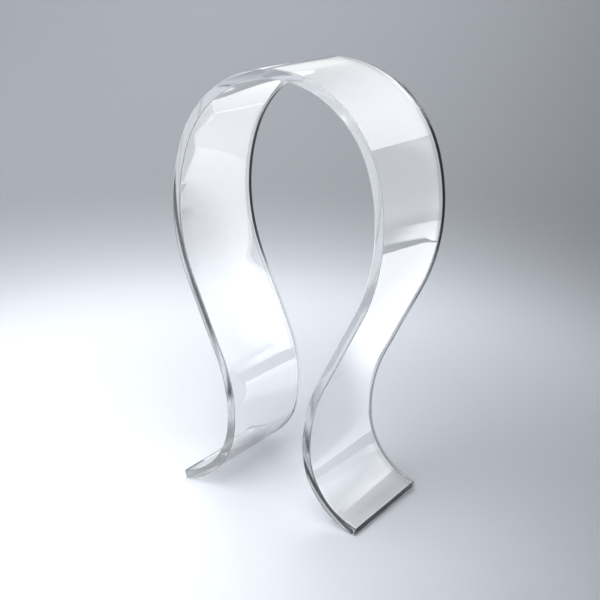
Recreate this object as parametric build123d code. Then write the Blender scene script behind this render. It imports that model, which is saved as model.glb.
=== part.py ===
from build123d import *
import os
from math import cos, radians, sin

# Desk stand for headphones: one strip of clear acrylic sheet, heat-bent into an omega.
# Millimetres and degrees. The floor is Z = 0 and the two toes stand on it. X runs from toe
# to toe, Y along the strip's width, and the origin is midway between the toes.

# ---- Driving dimensions ----
HEIGHT = 240.0          # floor to the top of the loop
STRIP_WIDTH = 67.0      # width of the strip, along Y
SHEET = 5.0             # thickness of the acrylic sheet

# Bends of one flank, from the crown down to the toe; radii are at mid-thickness
CROWN_RADIUS = 60.0     # the round top of the loop, which carries the headband
CROWN_SWEEP = 71.3
SIDE_RADIUS = 100.0     # gentler bend that turns the loop in towards the neck
SIDE_SWEEP = 44.4
NECK_RADIUS = 80.0      # reverse bend through the neck
NECK_SWEEP = 30.0
FOOT_RADIUS = 42.0      # tighter reverse bend that flares the foot outward
FOOT_SWEEP = 71.7

TOE_LAND = 1.0          # width of the flat dressed on the lower arris of each toe
EDGE_BREAK = 0.3        # chamfer on the polished arrises

# ---- Derived dimensions ----
# Heading of the strip after each bend, measured clockwise from +X
side_start = CROWN_SWEEP
web_heading = side_start + SIDE_SWEEP
foot_start = web_heading - NECK_SWEEP
toe_heading = foot_start - FOOT_SWEEP


def level(heading):
    return cos(radians(heading))


# What dressing the toe flat takes off its lower corner
toe_trim = TOE_LAND * sin(radians(toe_heading)) * level(toe_heading)

# The bends drop the strip by this much, and the straight web between them makes up the rest
bend_drop = (
    CROWN_RADIUS * (1 - level(side_start))
    + SIDE_RADIUS * (level(side_start) - level(web_heading))
    + NECK_RADIUS * (level(foot_start) - level(web_heading))
    + FOOT_RADIUS * (level(toe_heading) - level(foot_start))
)
thickness_drop = SHEET / 2 * (1 + level(toe_heading))
web_length = (HEIGHT + toe_trim - thickness_drop - bend_drop) / sin(radians(web_heading))
crown_height = HEIGHT - SHEET / 2   # mid-thickness of the strip at the top


def flank(outward):
    """The right flank's surface that lies this far outside mid-thickness, from crown to toe."""
    crown = JernArc((0, crown_height + outward), (1, 0), CROWN_RADIUS + outward, -CROWN_SWEEP)
    side = JernArc(crown @ 1, crown % 1, SIDE_RADIUS + outward, -SIDE_SWEEP)
    web = Line(side @ 1, side @ 1 + (side % 1) * web_length)
    neck = JernArc(web @ 1, web % 1, NECK_RADIUS - outward, NECK_SWEEP)
    foot = JernArc(neck @ 1, neck % 1, FOOT_RADIUS - outward, FOOT_SWEEP)
    return [crown, side, web, neck, foot]


# ---- Section of the strip, in the XZ plane ----
outer = flank(SHEET / 2)
inner = flank(-SHEET / 2)
toe_end = Line(outer[-1] @ 1, inner[-1] @ 1)
half = outer + [toe_end] + inner
outline = Wire(half + [edge.mirror(Plane.YZ) for edge in half])
section = Plane.XZ * Face(outline)

# ---- The strip ----
strip = extrude(section, STRIP_WIDTH / 2, both=True)

# Both toes are dressed flat on the floor plane
below_floor = Pos(0, 0, -HEIGHT / 2) * Box(HEIGHT, 2 * STRIP_WIDTH, HEIGHT)
strip = strip - below_floor

# The arrises along both cut sides and the upper arris of each toe are broken
side_faces = strip.faces().filter_by(Axis.Y)
toe_arrises = [
    edge for edge in strip.edges().filter_by(Axis.Y)
    if abs(edge.center().Z - (outer[-1] @ 1).Y) < SHEET / 10 and abs(edge.center().X) > FOOT_RADIUS
]
strip = chamfer(side_faces.edges() + toe_arrises, EDGE_BREAK)

os.makedirs("parts", exist_ok=True)
export_step(strip, "parts/acrylic_strip.step")
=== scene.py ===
import math

import bpy
import numpy as np
from mathutils import Matrix, Vector


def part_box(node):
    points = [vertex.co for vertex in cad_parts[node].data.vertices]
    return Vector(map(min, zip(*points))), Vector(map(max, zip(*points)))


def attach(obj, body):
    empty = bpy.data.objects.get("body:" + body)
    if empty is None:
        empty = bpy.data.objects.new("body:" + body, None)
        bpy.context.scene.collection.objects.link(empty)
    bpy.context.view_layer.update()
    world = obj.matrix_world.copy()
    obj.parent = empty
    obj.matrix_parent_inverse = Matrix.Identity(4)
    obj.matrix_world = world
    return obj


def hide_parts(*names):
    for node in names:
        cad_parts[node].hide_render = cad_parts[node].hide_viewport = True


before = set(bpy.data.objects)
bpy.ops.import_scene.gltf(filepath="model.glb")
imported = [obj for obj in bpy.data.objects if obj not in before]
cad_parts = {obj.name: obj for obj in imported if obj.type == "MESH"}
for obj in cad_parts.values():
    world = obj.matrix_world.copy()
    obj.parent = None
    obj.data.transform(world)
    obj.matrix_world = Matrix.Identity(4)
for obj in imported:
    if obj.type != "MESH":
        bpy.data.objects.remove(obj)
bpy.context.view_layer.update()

MM = 0.001

# ---------------------------------------------------------------- sizes from the frame
NODE = "acrylic_strip"
low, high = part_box(NODE)
width = high.y - low.y
height = high.z - low.z

# ---------------------------------------------------------------- camera
AZIMUTH = math.radians(32.21)     # the camera stands this far round from -Y towards +X
ELEVATION = math.radians(19.17)
ROLL = math.radians(1.70)
DISTANCE = 0.6408
FOCAL_MM = 70.3
SENSOR_MM = 36.0
AIM = Vector((-0.0021, -0.0014, 0.4647 * height))


def make_camera():
    back = Vector((
        math.sin(AZIMUTH) * math.cos(ELEVATION),
        -math.cos(AZIMUTH) * math.cos(ELEVATION),
        math.sin(ELEVATION),
    ))
    data = bpy.data.cameras.new("camera")
    data.lens = FOCAL_MM
    data.sensor_width = SENSOR_MM
    data.clip_start = 10 * MM
    camera = bpy.data.objects.new("camera", data)
    bpy.context.scene.collection.objects.link(camera)
    turn = back.to_track_quat("Z", "Y").to_matrix() @ Matrix.Rotation(ROLL, 3, "Z")
    camera.matrix_world = Matrix.Translation(AIM + back * DISTANCE) @ turn.to_4x4()
    bpy.context.scene.camera = camera


make_camera()

# ---------------------------------------------------------------- the strip's section
WELD = 0.002 * MM                 # the places of mesh points are told apart to this much
CORNER = math.radians(20)         # the outline turns more than this only at the toes' corners
LONG_CHORD = 3                    # a chord this many times the usual length is a straight web
FINE = 8                          # steps of the eased profile in one station
TAIL = 4                          # the easing's reach, in standard deviations


def cad_section():
    """The closed outline of the strip's section in XZ, in order, from the CAD mesh."""
    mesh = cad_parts[NODE].data
    points = np.array([v.co for v in mesh.vertices])
    key = [tuple(np.round(p / WELD).astype(int)) for p in points]
    # most points of the far half lie in the row where the faces meet the broken arris
    levels = [k[1] for k in key if k[1] > 0]
    row = max(set(levels), key=levels.count)
    links = {}
    for edge in mesh.edges:
        a, b = (key[i] for i in edge.vertices)
        if a[1] == row and b[1] == row and a != b:
            links.setdefault(a, set()).add(b)
            links.setdefault(b, set()).add(a)
    start = max(links, key=lambda k: k[2])
    order, last, here = [start], None, start
    while True:
        following = sorted(k for k in links[here] if k != last)
        last, here = here, following[0]
        if here == start:
            break
        order.append(here)
    where = dict(zip(key, points))
    return np.array([[where[k][0], where[k][2]] for k in order])


def crown_thickness(loop):
    """The sheet's thickness, between the two faces' points at the middle of the crown."""
    middle = loop[np.abs(loop[:, 0]) < WELD, 1]
    return round(float(middle.max() - middle.min()), 6)


def outer_flank(loop):
    """The right half of the outline's outer side, from the crown down to the toe's upper arris."""
    start = int(np.argmax(loop[:, 1] - 1e-3 * np.abs(loop[:, 0])))
    order = np.roll(loop, -start, axis=0)
    if order[1][0] < order[0][0]:
        order = np.roll(order[::-1], 1, axis=0)
    step = np.diff(order, axis=0)
    turn = np.diff(np.arctan2(step[:, 1], step[:, 0]))
    turn = np.abs((turn + math.pi) % (2 * math.pi) - math.pi)
    corner = int(np.argmax(turn > CORNER)) + 1
    return order[: corner + 1]


def eased_profile(flank, thickness, spacing, easing):
    """Stations from the crown to the toe along mid-thickness: place, heading, distance.

    The outer side's chords give the heading. The curvature changes between bends are eased
    over a few millimetres, as they are in sheet that is bent hot."""
    fine = spacing / FINE
    step = np.diff(flank, axis=0)
    chord = np.hypot(*step.T)
    turned = -np.unwrap(np.arctan2(step[:, 1], step[:, 0]))
    ends = np.concatenate([[0], np.cumsum(chord)])
    at, angle = [-chord[0] / 2], [-turned[0]]
    for i, length in enumerate(chord):
        if length > LONG_CHORD * np.median(chord):
            at += [ends[i], ends[i + 1]]
            angle += [turned[i], turned[i]]
        else:
            at.append((ends[i] + ends[i + 1]) / 2)
            angle.append(turned[i])
    reach = TAIL * easing
    slope = (angle[-1] - angle[-2]) / (at[-1] - at[-2])
    at.append(ends[-1] + reach)
    angle.append(angle[-1] + slope * (at[-1] - at[-2]))
    s = np.arange(-reach, ends[-1] + reach, fine)
    raw = np.where(s < 0, -1, 1) * np.interp(np.abs(s), at, angle)
    kernel = np.exp(-0.5 * (np.arange(-reach, reach + fine / 2, fine) / easing) ** 2)
    smooth = np.convolve(raw, kernel / kernel.sum(), mode="same")
    inside = (s > -fine / 2) & (s < ends[-1] + fine / 2)
    s, smooth = s[inside], smooth[inside]
    # walk the outer side along the eased heading, then close the small drift at the toe
    xz = np.stack([np.cos(smooth), -np.sin(smooth)], 1) * fine
    face = flank[0] + np.vstack([[0, 0], np.cumsum((xz[1:] + xz[:-1]) / 2, axis=0)])
    face += np.outer(s / s[-1], flank[-1] - face[-1])
    middle = face - np.stack([np.sin(smooth), np.cos(smooth)], 1) * thickness / 2
    along = np.concatenate([[0], np.cumsum(np.hypot(*np.diff(middle, axis=0).T))])
    even = np.linspace(0, along[-1], int(round(along[-1] / spacing)) + 1)
    place = np.stack([np.interp(even, along, middle[:, i]) for i in (0, 1)], 1)
    return place, np.interp(even, along, smooth), even


# ---------------------------------------------------------------- the strip
section = cad_section()
SHEET = crown_thickness(section)
HALF = SHEET / 2
STATION = 1.25 * MM               # from one cross-section to the next
EASING = 2.5 * MM                 # the spread of the bends' easing, one standard deviation
ARRIS = 0.40 * MM                 # how far the arrises are rounded over
ROUNDING = np.radians([22.5, 45.0, 67.5])   # the points on a rounded arris
SUPPORT = 0.5 * MM                # from a rounding to the next row, which keeps the faces flat
EDGE_SUPPORT = 0.45 * MM          # the same across the cut edges
FACE_COLUMNS = 29
EDGE_COLUMNS = 4
TIP = 0.12                        # what the toe's rounding leaves of the arris's own radius

WAVES = 9
WAVE_ALONG = 26 * MM              # the shortest waves, along the strip and across it
WAVE_ACROSS = 60 * MM
WAVE_HEIGHT = 0.005 * MM
LIFT_BAND = 9 * MM                # how far in from a side a tight bend lifts it
LIFT = 0.08 * MM
TIGHT = 60 * MM                   # a bend of this radius, as at the crown, counts as tight


def across_columns(half, support, count):
    """Places from -half to half: an even row, and one more at each end, close to it."""
    row = np.linspace(-half + support, half - support, count)
    return np.concatenate([[-half], row, [half]])


def ring_points():
    """The strip's cross-section as a closed ring of (across, out of the loop) points."""
    half_w = width / 2
    wide = across_columns(half_w - ARRIS, SUPPORT, FACE_COLUMNS)
    thin = across_columns(HALF - ARRIS, EDGE_SUPPORT, EDGE_COLUMNS)
    ring = []
    for quarter in range(4):
        face, reach = (wide, HALF) if quarter % 2 == 0 else (thin, half_w)
        side = [(v, reach) for v in face]
        corner = (face[-1], reach - ARRIS)
        side += [(corner[0] + ARRIS * math.sin(a), corner[1] + ARRIS * math.cos(a)) for a in ROUNDING]
        for across, out in side:
            for _ in range(quarter):
                across, out = out, -across
            ring.append((across, out))
    return np.array(ring)


def cross_sections(ring, last):
    """Every cross-section from toe to toe: its station, how far ahead of it, and its outline.

    Each toe has one more close inside it, and its end is rounded over."""
    inner = np.array([width / 2 - ARRIS, HALF - ARRIS])
    core = np.clip(ring, -inner, inner)
    cap = []
    for a in np.append(ROUNDING, math.pi / 2):
        cap.append((ARRIS * math.sin(a), core + (ring - core) * max(math.cos(a), TIP)))
    cap.append((ARRIS, core * (1 - SUPPORT / inner) + (ring - core) * TIP))
    rows = [(i, 0.0, ring) for i in range(last + 1)]
    rows.insert(last, (last, -SUPPORT, ring))
    rows.insert(1, (0, SUPPORT, ring))
    return [(0, -d, r) for d, r in cap[::-1]] + rows + [(last, d, r) for d, r in cap]


def toe_faces(first, n):
    """A toe's end: quads between the two faces' columns, and one face at each side."""
    count = FACE_COLUMNS + 2
    half_ring = n // 2
    up = [first + j for j in range(count)]
    down = [first + half_ring + count - 1 - j for j in range(count)]
    fills = [[up[j], up[j + 1], down[j + 1], down[j]] for j in range(count - 1)]
    fills.append([first + j for j in range(count - 1, half_ring + 1)])
    fills.append([first + j % n for j in range(half_ring + count - 1, n + 1)])
    return fills


def build_strip():
    """One bent sheet: the ring swept along the eased profile, both toes closed."""
    place, heading, along = eased_profile(outer_flank(section), SHEET, STATION, EASING)
    centre = np.vstack([place[:0:-1] * (-1, 1), place])
    theta = np.concatenate([-heading[:0:-1], heading])
    s = np.concatenate([-along[:0:-1], along])
    ring = ring_points()
    n = len(ring)
    rows = cross_sections(ring, len(s) - 1)

    wave = Waviness()
    curve = np.gradient(theta, s)
    verts = []
    for i, ahead, shape in rows:
        along_dir = np.array([math.cos(theta[i]), -math.sin(theta[i])])
        out_dir = np.array([math.sin(theta[i]), math.cos(theta[i])])
        lift = wave.height(s[i] + ahead, shape[:, 0], curve[i])
        xz = centre[i] + ahead * along_dir + np.outer(shape[:, 1] + lift, out_dir)
        verts.append(np.column_stack([xz[:, 0], shape[:, 0], np.maximum(xz[:, 1], 0.0)]))
    verts = np.vstack(verts)

    # U is the distance along the strip and V the distance round the ring
    closed = np.vstack([ring, ring[:1]])
    v_at = np.concatenate([[0], np.cumsum(np.hypot(*np.diff(closed, axis=0).T))])
    u_at = [s[i] + ahead for i, ahead, _ in rows]
    faces, uvs = [], []
    for k in range(len(rows) - 1):
        for j in range(n):
            m = (j + 1) % n
            faces.append((k * n + j, (k + 1) * n + j, (k + 1) * n + m, k * n + m))
            a, b = u_at[k], u_at[k + 1]
            uvs += [(a, v_at[j]), (b, v_at[j]), (b, v_at[j + 1]), (a, v_at[j + 1])]
    last_ring = (len(rows) - 1) * n
    for first, u, turn in ((0, u_at[0], 1), (last_ring, u_at[-1], -1)):
        for fill in toe_faces(first, n):
            faces.append(tuple(fill[::turn]))
            uvs += [(u, v_at[(v - first) % n]) for v in fill[::turn]]

    mesh = bpy.data.meshes.new("acrylic_strip_clear")
    mesh.from_pydata(verts.tolist(), [], faces)
    mesh.validate()
    layer = mesh.uv_layers.new(name="along_around")
    layer.data.foreach_set("uv", np.array(uvs, np.float32).ravel())
    mesh.shade_smooth()
    piece = bpy.data.objects.new("acrylic_strip_clear", mesh)
    bpy.context.scene.collection.objects.link(piece)
    return piece, centre, theta


class Waviness:
    """How far heat-bent sheet strays from its true surface: a few hundredths of a millimetre,
    most of it in the bends, and a slight lift along both sides where a bend is tight."""

    def __init__(self):
        draw = np.random.default_rng(11)
        self.waves = [
            (
                draw.uniform(-1, 1) * 2 * math.pi / WAVE_ALONG,
                draw.uniform(-1, 1) * 2 * math.pi / WAVE_ACROSS,
                draw.uniform(0, 2 * math.pi),
                draw.uniform(0.4, 1.0),
            )
            for _ in range(WAVES)
        ]

    def height(self, s, across, curve):
        bend = min(abs(curve) * TIGHT, 1.0)
        height = sum(a * np.sin(p * s + q * across + c) for p, q, c, a in self.waves)
        side = (np.maximum(0, np.abs(across) - (width / 2 - LIFT_BAND)) / LIFT_BAND) ** 2
        return height * WAVE_HEIGHT * (0.35 + 0.65 * bend) + side * curve * TIGHT * LIFT


strip, sweep_middle, sweep_heading = build_strip()


# ---------------------------------------------------------------- material
def node(tree, kind, **settings):
    made = tree.nodes.new(kind)
    for name, value in settings.items():
        setattr(made, name, value)
    return made


def math_node(tree, operation, a, b=None, clamp=False):
    made = node(tree, "ShaderNodeMath", operation=operation, use_clamp=clamp)
    for socket, value in zip(made.inputs, (a, b)):
        if value is None:
            continue
        if hasattr(value, "links"):
            tree.links.new(value, socket)
        else:
            socket.default_value = value
    return made.outputs[0]


def plus(tree, a, b, clamp=False):
    return math_node(tree, "ADD", a, b, clamp)


def times(tree, a, b):
    return math_node(tree, "MULTIPLY", a, b)


def ramp(tree, value, lowest, highest, to_low=0.0, to_high=1.0):
    """A smooth step of value, from to_low at lowest to to_high at highest."""
    made = node(tree, "ShaderNodeMapRange", interpolation_type="SMOOTHSTEP")
    tree.links.new(value, made.inputs["Value"])
    sockets = ("From Min", "From Max", "To Min", "To Max")
    for name, number in zip(sockets, (lowest, highest, to_low, to_high)):
        made.inputs[name].default_value = number
    return made.outputs[0]


def split_xyz(tree, vector):
    made = node(tree, "ShaderNodeSeparateXYZ")
    tree.links.new(vector, made.inputs[0])
    return made.outputs


def noise(tree, vector, scale, detail, rough=0.5, stretch=None):
    made = node(tree, "ShaderNodeTexNoise")
    made.inputs["Scale"].default_value = scale
    made.inputs["Detail"].default_value = detail
    made.inputs["Roughness"].default_value = rough
    if stretch:
        mapping = node(tree, "ShaderNodeMapping")
        mapping.inputs["Scale"].default_value = stretch
        tree.links.new(vector, mapping.inputs["Vector"])
        vector = mapping.outputs[0]
    tree.links.new(vector, made.inputs["Vector"])
    return made.outputs["Fac"]


def hair_scratches(tree, flat):
    """Fine scratches, mostly along the strip, broken up so that they come and go."""
    hair = ramp(tree, noise(tree, flat, 1.0, 2, 0.5, (45, 2600, 1)), 0.68, 0.80)
    comes = ramp(tree, noise(tree, flat, 1.0, 3, 0.6, (60, 60, 1)), 0.52, 0.66)
    return times(tree, hair, comes)


def dust_specks(tree, place):
    """A speck in the middle of one cell in seven."""
    cells = node(tree, "ShaderNodeTexVoronoi")
    cells.inputs["Scale"].default_value = 150
    tree.links.new(place, cells.inputs["Vector"])
    speck = ramp(tree, cells.outputs["Distance"], 0.045, 0.025)
    few = math_node(tree, "GREATER_THAN", split_xyz(tree, cells.outputs["Color"])["X"], 0.86)
    return times(tree, speck, few)


def acrylic():
    """Clear cast acrylic: polished faces with hair scratches, smudges and dust, buffed edges."""
    material = bpy.data.materials.new("clear_acrylic")
    material.use_nodes = True
    tree = material.node_tree
    tree.nodes.clear()
    link = tree.links.new
    out = node(tree, "ShaderNodeOutputMaterial")
    shader = node(tree, "ShaderNodeBsdfPrincipled")
    shader.inputs["Transmission Weight"].default_value = 1.0
    shader.inputs["IOR"].default_value = 1.49
    link(shader.outputs[0], out.inputs["Surface"])
    absorb = node(tree, "ShaderNodeVolumeAbsorption")
    absorb.inputs["Color"].default_value = (0.945, 0.95, 0.97, 1)
    absorb.inputs["Density"].default_value = 6.0
    link(absorb.outputs[0], out.inputs["Volume"])

    texture = node(tree, "ShaderNodeTexCoord").outputs
    place = texture["Object"]
    flat = node(tree, "ShaderNodeUVMap", uv_map="along_around").outputs[0]
    sideways = math_node(tree, "ABSOLUTE", split_xyz(tree, texture["Normal"])["Y"])
    cut_edge = ramp(tree, sideways, 0.35, 0.9)
    smudge = ramp(tree, noise(tree, place, 34, 5, 0.6), 0.50, 0.74)
    haze = ramp(tree, noise(tree, place, 9, 3), 0.35, 0.75)
    scratches = hair_scratches(tree, flat)
    buffing = noise(tree, flat, 1.0, 3, 0.6, (18, 5200, 1))
    dust = dust_specks(tree, place)

    rough = plus(tree, times(tree, smudge, 0.020), times(tree, haze, 0.006))
    rough = plus(tree, rough, times(tree, scratches, 0.10))
    buffed = plus(tree, times(tree, buffing, 0.07), 0.09)
    rough = plus(tree, rough, times(tree, cut_edge, buffed))
    rough = plus(tree, rough, times(tree, dust, 0.45), clamp=True)
    link(rough, shader.inputs["Roughness"])

    tint = node(tree, "ShaderNodeMix", data_type="RGBA")
    tint.inputs[6].default_value = (0.990, 0.990, 0.992, 1)
    tint.inputs[7].default_value = (0.94, 0.945, 0.955, 1)
    link(math_node(tree, "MAXIMUM", times(tree, smudge, 0.5), dust), tint.inputs[0])
    link(tint.outputs[2], shader.inputs["Base Color"])

    relief = plus(tree, times(tree, scratches, -0.35), times(tree, dust, 0.8))
    relief = plus(tree, relief, times(tree, times(tree, cut_edge, buffing), 0.25))
    bump = node(tree, "ShaderNodeBump")
    bump.inputs["Strength"].default_value = 0.12
    bump.inputs["Distance"].default_value = 0.03 * MM
    link(relief, bump.inputs["Height"])
    link(bump.outputs[0], shader.inputs["Normal"])
    return material


strip.data.materials.append(acrylic())
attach(strip, "root")
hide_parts(NODE)

# ---------------------------------------------------------------- stage
FLAT = 0.40                       # the sweep's flat floor, out to this radius
BEND = 0.35                       # radius of its curve up into the wall
WALL = 0.60                       # height of the wall
AROUND = 96                       # faces in one turn of it
BELOW = 0.02 * MM                 # the floor lies this far under the toes
# the paper's colour: a painted pool of light near the object, and painted shade far out
PAPER_PAINTED_LIGHT = (0.795, 0.81, 0.845, 1)
PAPER_PAINTED_SHADE = (0.298, 0.303, 0.318, 1)


def paper():
    """Pale paper with a painted pool of light: white around the object, with painted shade greyer further
    out and up the wall, standing in for the lamps' falloff.
    """
    material = bpy.data.materials.new("paper_painted_falloff")
    material.use_nodes = True
    tree = material.node_tree
    shader = tree.nodes["Principled BSDF"]
    shader.inputs["Roughness"].default_value = 0.9
    shader.inputs["Specular IOR Level"].default_value = 0.0
    reach = node(tree, "ShaderNodeVectorMath", operation="LENGTH")
    tree.links.new(node(tree, "ShaderNodeTexCoord").outputs["Object"], reach.inputs[0])
    # painted shade: the paper's colour greys with distance from the centre
    shade = node(tree, "ShaderNodeMix", data_type="RGBA")
    tree.links.new(ramp(tree, reach.outputs["Value"], 0.25, 0.58), shade.inputs[0])
    shade.inputs[6].default_value = PAPER_PAINTED_LIGHT
    shade.inputs[7].default_value = PAPER_PAINTED_SHADE
    tree.links.new(shade.outputs[2], shader.inputs["Base Color"])
    return material


def make_sweep():
    """A round seamless sweep: flat under the object, curving up into a wall well beyond it."""
    rows = [(r, 0.0) for r in (0.12, 0.25, 0.36, FLAT)]
    rise = np.radians(np.arange(4, 91, 4.3))
    rows += [(FLAT + BEND * math.sin(a), BEND * (1 - math.cos(a))) for a in rise]
    rows.append((FLAT + BEND, WALL))
    turns = [2 * math.pi * k / AROUND for k in range(AROUND)]
    verts = [(0.0, 0.0, 0.0)]
    for r, z in rows:
        verts += [(r * math.cos(a), r * math.sin(a), z) for a in turns]
    faces = [(0, 1 + k, 1 + (k + 1) % AROUND) for k in range(AROUND)]
    for i in range(len(rows) - 1):
        a, b = 1 + i * AROUND, 1 + (i + 1) * AROUND
        for k in range(AROUND):
            m = (k + 1) % AROUND
            faces.append((a + k, b + k, b + m, a + m))
    mesh = bpy.data.meshes.new("stage_sweep")
    mesh.from_pydata(verts, [], faces)
    mesh.shade_smooth()
    sweep = bpy.data.objects.new("stage_sweep", mesh)
    bpy.context.scene.collection.objects.link(sweep)
    mesh.materials.append(paper())
    sweep.location.z = -BELOW


def softbox(name, at, toward, side, power, colour, gloss=True):
    """A square soft light; without gloss, reflections don't show it."""
    data = bpy.data.lights.new(name, "AREA")
    data.shape = "RECTANGLE"
    data.size = data.size_y = side
    data.energy = power
    data.color = colour
    lamp = bpy.data.objects.new(name, data)
    bpy.context.scene.collection.objects.link(lamp)
    lamp.location = at
    lamp.rotation_euler = (Vector(toward) - Vector(at)).to_track_quat("-Z", "Y").to_euler()
    lamp.visible_camera = False
    lamp.visible_glossy = gloss


make_sweep()
softbox("left", (-0.609, 0.051, 0.452), (0.484, -0.363, 0.0), 0.5, 0.70, (0.97, 0.985, 1.0), gloss=False)
softbox("back_high", (-0.346, 0.488, 0.60), (-0.6, 0.6, 0.0), 0.6, 4.9, (0.94, 0.965, 1.0), gloss=False)
softbox("overhead", (-0.06, -0.346, 0.50), (-0.5, -0.5, 0.0), 0.6, 5.5, (0.95, 0.97, 1.0))

# ---------------------------------------------------------------- what the acrylic reflects
PIPED = 0.27                      # what light piped along the sheet sees of a card's strength
NEAR_BLACK = 0.03


def card(name, corners, shader_of, see_through=True, faces=None):
    """A studio card that only gloss and glass see: one polygon, or some, with its own shader.

    Without see_through, it is seen only in reflections."""
    mesh = bpy.data.meshes.new(name)
    mesh.from_pydata(corners, [], faces or [tuple(range(len(corners)))])
    material = bpy.data.materials.new(name)
    material.use_nodes = True
    tree = material.node_tree
    tree.nodes.clear()
    out = node(tree, "ShaderNodeOutputMaterial")
    tree.links.new(shader_of(tree), out.inputs["Surface"])
    material.cycles.emission_sampling = "NONE"
    mesh.materials.append(material)
    piece = bpy.data.objects.new(name, mesh)
    bpy.context.scene.collection.objects.link(piece)
    piece.visible_camera = False
    piece.visible_diffuse = False
    piece.visible_shadow = False
    piece.visible_transmission = see_through


def clear_or(tree, share, shader):
    """The shader by this share, and clear for the rest."""
    mix = node(tree, "ShaderNodeMixShader")
    tree.links.new(share, mix.inputs[0])
    tree.links.new(node(tree, "ShaderNodeBsdfTransparent").outputs[0], mix.inputs[1])
    tree.links.new(shader, mix.inputs[2])
    return mix.outputs[0]


def glow(x=None, y=None, z=None, fade=None):
    """Emission whose strength is the product of smooth steps along X, Y and Z, each given as
    (from, to, strength at from, strength at to). With fade, it comes in from nothing along Y.
    Light piped along the sheet, which turns round inside more than once, sees a share of it."""
    def build(tree):
        made = node(tree, "ShaderNodeEmission")
        made.inputs["Color"].default_value = (0.98, 0.99, 1.0, 1)
        place = split_xyz(tree, node(tree, "ShaderNodeTexCoord").outputs["Object"])
        path = node(tree, "ShaderNodeLightPath").outputs
        turned = math_node(tree, "GREATER_THAN", path["Glossy Depth"], 1.5)
        inside = math_node(tree, "GREATER_THAN", path["Transmission Depth"], 0.5)
        strength = ramp(tree, times(tree, turned, inside), 0.0, 1.0, 1.0, PIPED)
        for axis, step in zip("XYZ", (x, y, z)):
            if step:
                strength = times(tree, strength, ramp(tree, place[axis], *step))
        tree.links.new(strength, made.inputs["Strength"])
        if fade is None:
            return made.outputs[0]
        return clear_or(tree, ramp(tree, place["Y"], *fade), made.outputs[0])
    return build


def dark(turns, passes=True, fade=(), level=NEAR_BLACK):
    """One dark level for light that meets the acrylic in one way, clear for everything else: at
    least so many turns by reflection, and passing through the surface or bouncing off it.
    Each fade is a smooth step from 0 to 1 between two heights."""
    def build(tree):
        path = node(tree, "ShaderNodeLightPath").outputs
        share = math_node(tree, "GREATER_THAN", path["Glossy Depth"], turns - 0.5)
        if passes:
            way = math_node(tree, "GREATER_THAN", path["Transmission Depth"], 1.5)
        else:
            way = math_node(tree, "LESS_THAN", path["Transmission Depth"], 0.5)
        share = times(tree, share, way)
        place = split_xyz(tree, node(tree, "ShaderNodeTexCoord").outputs["Object"])
        for step in fade:
            share = times(tree, share, ramp(tree, place["Z"], *step))
        made = node(tree, "ShaderNodeEmission")
        made.inputs["Color"].default_value = (0.9, 0.95, 1.0, 1)
        made.inputs["Strength"].default_value = level
        return clear_or(tree, share, made.outputs[0])
    return build


# Cards that stand on one plane behind the object, each an outline of (x, z).
# card_foot is dimmer than its neighbours: it meets card_low along FOOT_LINE and card_low_right
# along NECK_LINE. To the right of DIM_EDGE the wall falls off.
BACK = 0.25
FOOT_LINE = [(0.08, 0.126), (0.05, 0.09), (0.0, 0.055), (-0.035, 0.06)]
NECK_LINE = [(0.135, 0.262), (0.11, 0.15)]
DIM_EDGE = 0.162


def back_card(name, outline, shader_of, see_through=True):
    card(name, [(x, BACK, z) for x, z in outline], shader_of, see_through)


def make_wall():
    back_card(
        "card_high",
        [(-0.20, 0.262), (0.16, 0.266), (0.32, 0.416), (0.32, 0.60), (-0.20, 0.60)],
        glow(x=(-0.15, 0.16, 1.0, 3.4)),
    )
    back_card(
        "card_low",
        [(-0.035, 0.0), (0.05, 0.0), (0.08, 0.02), *FOOT_LINE],
        glow(x=(-0.04, 0.10, 2.2, 3.4)),
    )
    back_card(
        "card_low_right",
        [(0.08, 0.02), (DIM_EDGE, 0.06), (DIM_EDGE, 0.266), *NECK_LINE, FOOT_LINE[0]],
        glow(x=(0.12, DIM_EDGE, 3.9, 2.6), z=(0.19, 0.26, 1.0, 0.45)),
    )
    back_card(
        "card_foot",
        [*FOOT_LINE[::-1], *NECK_LINE[::-1], (-0.035, 0.262)],
        glow(x=(0.06, 0.11, 1.0, 1.5)),
    )
    back_card(
        "card_left",
        [(-0.32, 0.0), (-0.035, 0.0), (-0.035, 0.07), (-0.12, 0.14), (-0.20, 0.23), (-0.32, 0.26)],
        glow(x=(-0.18, -0.03, 1.7, 3.0)),
        see_through=False,
    )
    back_card(
        "card_dim",
        [(DIM_EDGE, 0.09), (0.32, 0.09), (0.32, 0.416), (DIM_EDGE, 0.267)],
        glow(x=(DIM_EDGE, 0.19, 2.4, 1.6), z=(0.09, 0.125, 0.6, 1.0)),
    )
    back_card(
        "card_dim_low",
        [(DIM_EDGE, 0.06), (0.32, 0.06), (0.32, 0.09), (DIM_EDGE, 0.09)],
        glow(x=(0.175, 0.215, 2.4, 0.9)),
    )


# Cards that lie just above the floor, each an outline of (x, y)
ON_FLOOR = 1 * MM


def floor_card(name, outline, shader_of, see_through=True):
    card(name, [(x, y, ON_FLOOR) for x, y in outline], shader_of, see_through)


def make_floor_cards():
    floor_card(
        "card_floor_left",
        [(-0.30, 0.07), (-0.03, 0.07), (-0.03, 0.2499), (-0.30, 0.2499)],
        glow(x=(-0.30, -0.03, 1.4, 2.2), fade=(0.07, 0.14)),
        see_through=False,
    )
    floor_card(
        "card_floor",
        [(-0.03, 0.08), (0.42, 0.08), (0.42, 0.484), (-0.03, 0.247)],
        glow(y=(0.12, 0.42, 2.0, 4.2), fade=(0.085, 0.13)),
        see_through=False,
    )


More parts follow.
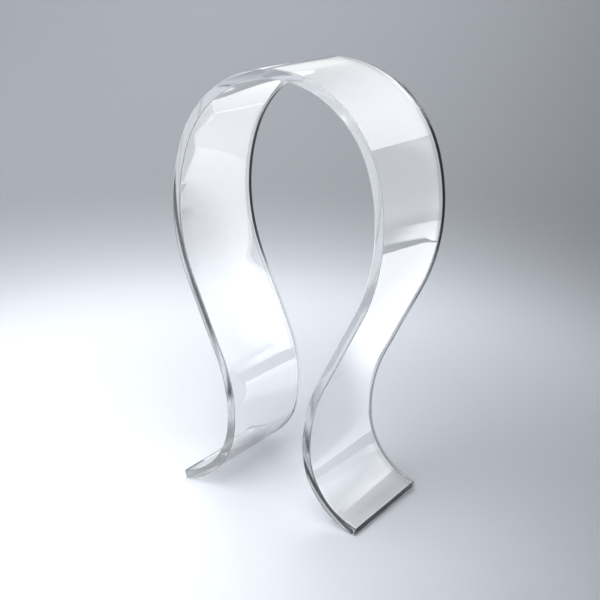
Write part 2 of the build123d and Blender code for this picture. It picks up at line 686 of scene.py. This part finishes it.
def make_dark_room():
    """Flags round the camera's side, and one on the floor, for light that turned inside the sheet."""
    radius = 0.385
    flag_height = 1.0
    turns = np.radians(np.arange(-110, 71, 10))
    posts = [(radius * math.sin(a), -radius * math.cos(a)) for a in turns]
    for k, (start, end) in enumerate(zip(posts, posts[1:])):
        corners = [(*start, 0.0), (*end, 0.0), (*end, flag_height), (*start, flag_height)]
        card(f"flag_{k}", corners, dark(1))
    floor_card(
        "flag_floor",
        [(-0.30, -0.25), (-0.20, -0.33), (0.0, -0.385), (0.20, -0.33), (0.30, -0.25)],
        dark(1),
    )


# ---------------------------------------------------------------- flags along the back edge
LEFT, RIGHT = -1, 1


def flank(side):
    """One flank's places at mid-thickness, and the way out from there, in XZ."""
    rows = sweep_middle[:, 0] * side > 0.0
    heading = sweep_heading[rows]
    return sweep_middle[rows], np.stack([np.sin(heading), np.cos(heading)], 1)


def band(name, first, second, shader_of):
    """A card between two lines of points, with as many in each."""
    n = len(first)
    card(name, first + second, shader_of, faces=[(k, k + 1, n + k + 1, n + k) for k in range(n - 1)])


def ribbon(name, side, reach, shader_of, behind=0.25):
    """A flag that follows the strip just behind its back edge, on one flank: it reaches between
    two distances out from mid-thickness, and stands so many millimetres behind."""
    middle, out = flank(side)
    y = width / 2 + behind * MM
    first, second = ([(x, y, z) for x, z in middle + out * r] for r in reach)
    band(name, first, second, shader_of)


def lining(name, side, out_by, shader_of, depth=5 * MM):
    """A flag just off one face of the strip, along the last few millimetres before its back edge."""
    middle, out = flank(side)
    edge = width / 2
    first, second = ([(x, y, z) for x, z in middle + out * out_by] for y in (edge - depth, edge))
    band(name, first, second, shader_of)


def make_edge_flags():
    ribbon(
        "flag_right_back", RIGHT, (HALF - 0.4 * MM, HALF + 2.3 * MM),
        dark(1, passes=False, fade=[(0.236, 0.226)]),
    )
    ribbon(
        "flag_left_back", LEFT, (-HALF - 2.3 * MM, -HALF + 0.4 * MM),
        dark(1, passes=False, fade=[(0.225, 0.215)], level=0.35),
    )
    ribbon(
        "flag_left_edge", LEFT, (HALF - 1.5 * MM, HALF),
        dark(3, fade=[(0.072, 0.095), (0.180, 0.165)]), behind=0.30,
    )
    ribbon(
        "flag_left_neck", LEFT, (-HALF, 0.8 * MM),
        dark(1, fade=[(0.036, 0.048), (0.088, 0.070)], level=0.02), behind=0.35,
    )
    ribbon("flag_left_foot", LEFT, (-HALF, HALF), dark(1, fade=[(0.030, 0.016)], level=0.32), behind=0.60)
    ribbon(
        "flag_right_foot", RIGHT, (-HALF - 0.5 * MM, -HALF + 2.0 * MM),
        dark(1, fade=[(0.034, 0.022)]),
    )
    ribbon(
        "flag_right_neck", RIGHT, (HALF - 1.2 * MM, HALF + 0.3 * MM),
        dark(0, fade=[(0.105, 0.085)], level=0.35), behind=0.45,
    )
    ribbon(
        "flag_left_line", LEFT, (-HALF - 0.3 * MM, -HALF + 1.2 * MM),
        dark(0, fade=[(0.115, 0.095)], level=0.60), behind=0.50,
    )
    off = HALF + 0.3 * MM
    lining("flag_right_lining", RIGHT, -off, dark(1, fade=[(0.110, 0.090)], level=0.40))
    lining("flag_left_lining", LEFT, off, dark(1, fade=[(0.120, 0.100)], level=0.80))


def make_piped_card():
    """What the cut edges gather from behind the sheet, through many turns inside it."""
    half, top = 0.60, 0.60
    y = BACK - 0.015              # a little in front of the back cards
    corners = [(-half, y, 0.0), (half, y, 0.0), (half, y, top), (-half, y, top)]
    card("card_piped", corners, dark(2, level=0.78))


make_wall()
make_floor_cards()
make_dark_room()
make_edge_flags()
make_piped_card()

# ---------------------------------------------------------------- world and light paths
world = bpy.data.worlds.new("room")
world.use_nodes = True
room = world.node_tree.nodes["Background"].inputs
room["Color"].default_value = (0.30, 0.33, 0.38, 1)
room["Strength"].default_value = 0.15
scene = bpy.context.scene
scene.world = world
scene.view_settings.view_transform = "Standard"
scene.cycles.use_denoising = True
scene.cycles.caustics_refractive = True
scene.cycles.caustics_reflective = False
scene.cycles.blur_glossy = 0.5
scene.cycles.max_bounces = 24
scene.cycles.transmission_bounces = 24
scene.cycles.glossy_bounces = 12
